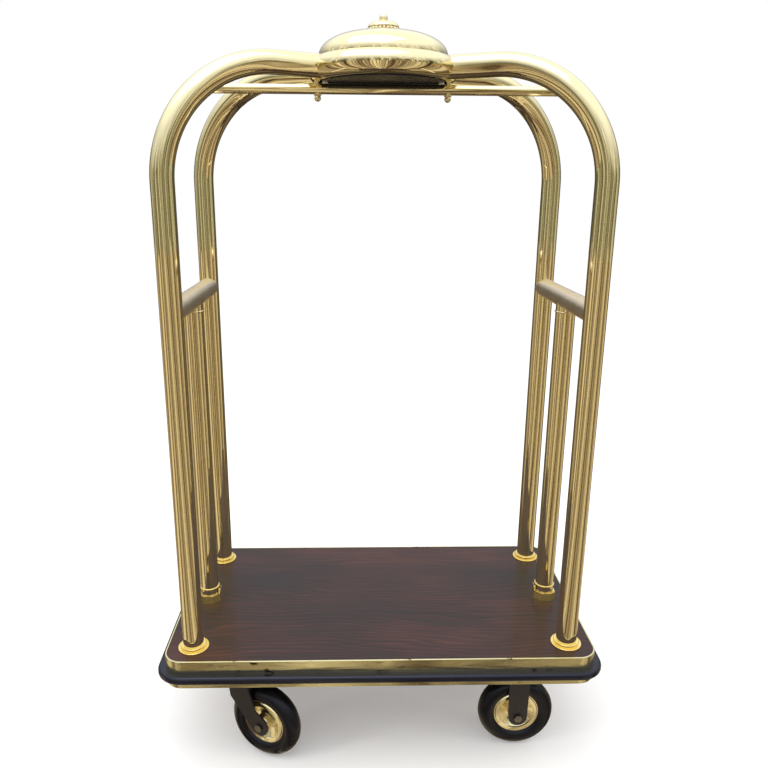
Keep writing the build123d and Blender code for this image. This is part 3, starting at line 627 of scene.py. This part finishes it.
# ---------------------------------------------------------------- stage
def camera():
    """The camera of the photograph: in front of the cart, above its deck, looking a little down."""
    cos_pitch, sin_pitch = math.cos(CAMERA_PITCH), math.sin(CAMERA_PITCH)
    forward = Vector((math.sin(CAMERA_YAW) * cos_pitch, math.cos(CAMERA_YAW) * cos_pitch, -sin_pitch))
    right = Vector((math.cos(CAMERA_YAW), -math.sin(CAMERA_YAW), 0))
    up = right.cross(forward)
    rolled_right = right * math.cos(CAMERA_ROLL) + up * math.sin(CAMERA_ROLL)
    rolled_up = up * math.cos(CAMERA_ROLL) - right * math.sin(CAMERA_ROLL)
    data = bpy.data.cameras.new("camera")
    data.sensor_width = SENSOR
    data.lens = LENS
    data.shift_x = CAMERA_SHIFT_X
    data.clip_end = CAMERA_REACH
    view = bpy.data.objects.new("camera", data)
    turn = Matrix((rolled_right, rolled_up, -forward)).transposed()
    view.matrix_world = Matrix.Translation(CAMERA_PLACE) @ turn.to_4x4()
    bpy.context.scene.collection.objects.link(view)
    bpy.context.scene.camera = view


def floor():
    """Plain pale floor; shiny parts see a darker ground, streaked outward from under the cart."""
    f = Finish("floor_pale")
    here = f.place()
    tone = f.noise(here, scale=1.5, detail=3.0, rough=0.5)
    f.set(Base_Color=f.ramp(tone, [(0.3, (0.96, 0.96, 0.96)), (0.7, (0.98, 0.98, 0.98))]), Roughness=0.7)
    f.set(Specular_IOR_Level=0.2, Emission_Color=(1.0, 1.0, 1.0), Emission_Strength=0.10)
    flat = f.add("VectorMath", operation="MULTIPLY")
    flat.inputs[1].default_value = (1, 1, 0)
    f.link(here, flat.inputs[0])
    outward = f.add("VectorMath", operation="NORMALIZE")
    f.link(flat.outputs["Vector"], outward.inputs[0])
    direction = outward.outputs["Vector"]
    streaks = f.noise(direction, scale=GROUND_STREAKS, detail=5.0, rough=0.62)
    behind = f.spread(f.split(direction)["Y"], 0.15, 0.95, 0.0, 0.80)
    ground = f.add("Emission")
    f.link(f.mix(behind, f.ramp(streaks, GROUND_TONES), GROUND_BEHIND), ground.inputs["Color"])
    output = f.tree.nodes["Material Output"]
    f.for_mirrors(f.shader.outputs["BSDF"], ground.outputs["Emission"], output)

    side = FLOOR_HALF_SIDE
    corners = [(-side, -side, 0), (side, -side, 0), (side, side, 0), (-side, side, 0)]
    mesh = bpy.data.meshes.new("floor")
    mesh.from_pydata(corners, [], [(0, 1, 2, 3)])
    mesh.materials.append(f.material)
    piece = bpy.data.objects.new("floor", mesh)
    bpy.context.scene.collection.objects.link(piece)


def world():
    """Pale studio for the camera; shiny parts see a bright sky over a darker, streaky surround."""
    studio = bpy.data.worlds.new("studio")
    bpy.context.scene.world = studio
    studio.use_nodes = True
    t = Tree(studio.node_tree)
    t.tree.nodes.clear()
    direction = t.split(t.place(space="Generated"))
    streaks = t.noise(t.place((1.0, 1.0, 0.10), "Generated"), SURROUND_STREAKS, detail=5.0, rough=0.62)
    shade = t.add("VectorMath", operation="SCALE")
    t.link(t.ramp(streaks, SURROUND_TONES), shade.inputs[0])
    t.link(t.spread(direction["Y"], 0.20, 0.95, 1.0, 0.12), shade.inputs["Scale"])
    overhead = t.spread(direction["Z"], 0.10, 0.62)
    mirrored = t.add("Background")
    t.link(t.mix(overhead, shade.outputs["Vector"], SKY), mirrored.inputs["Color"])
    pale = t.add("Background")
    pale.inputs["Color"].default_value = (1.0, 1.0, 1.0, 1)
    output = t.add("OutputWorld")
    t.for_mirrors(pale.outputs["Background"], mirrored.outputs["Background"], output)


def lamp(name, place, aim, size, watts, color=(1, 1, 1), seen=True):
    """A rectangular lamp aimed at a point; seen lets it show in reflections."""
    data = bpy.data.lights.new(name, "AREA")
    data.shape = "RECTANGLE"
    data.size, data.size_y = size
    data.energy = watts
    data.color = color
    light = bpy.data.objects.new(name, data)
    light.location = place
    light.rotation_euler = (Vector(aim) - Vector(place)).to_track_quat("-Z", "Y").to_euler()
    light.visible_glossy = seen
    bpy.context.scene.collection.objects.link(light)


def lights():
    """Soft light from above, with a weak warm strip at each side."""
    lamp("sky_box", (-0.6, -0.9, 4.2), aim=(0, 0, 0.6), size=(3.4, 2.6), watts=42)
    lamp("left_strip", (-3.0, -1.6, 2.0), (0, 0, 1.0), (0.35, 3.0), 26, (1.0, 0.97, 0.90), seen=False)
    lamp("right_strip", (2.9, -1.2, 1.9), (0, 0, 1.0), (0.22, 2.8), 14, (1.0, 0.95, 0.86), seen=False)


dress_cad_nodes()
build_arches()
build_side_frames()
build_crown()
build_finial_beads()
build_socket_ears()
camera()
floor()
world()
lights()
bpy.context.scene.view_settings.view_transform = "Standard"
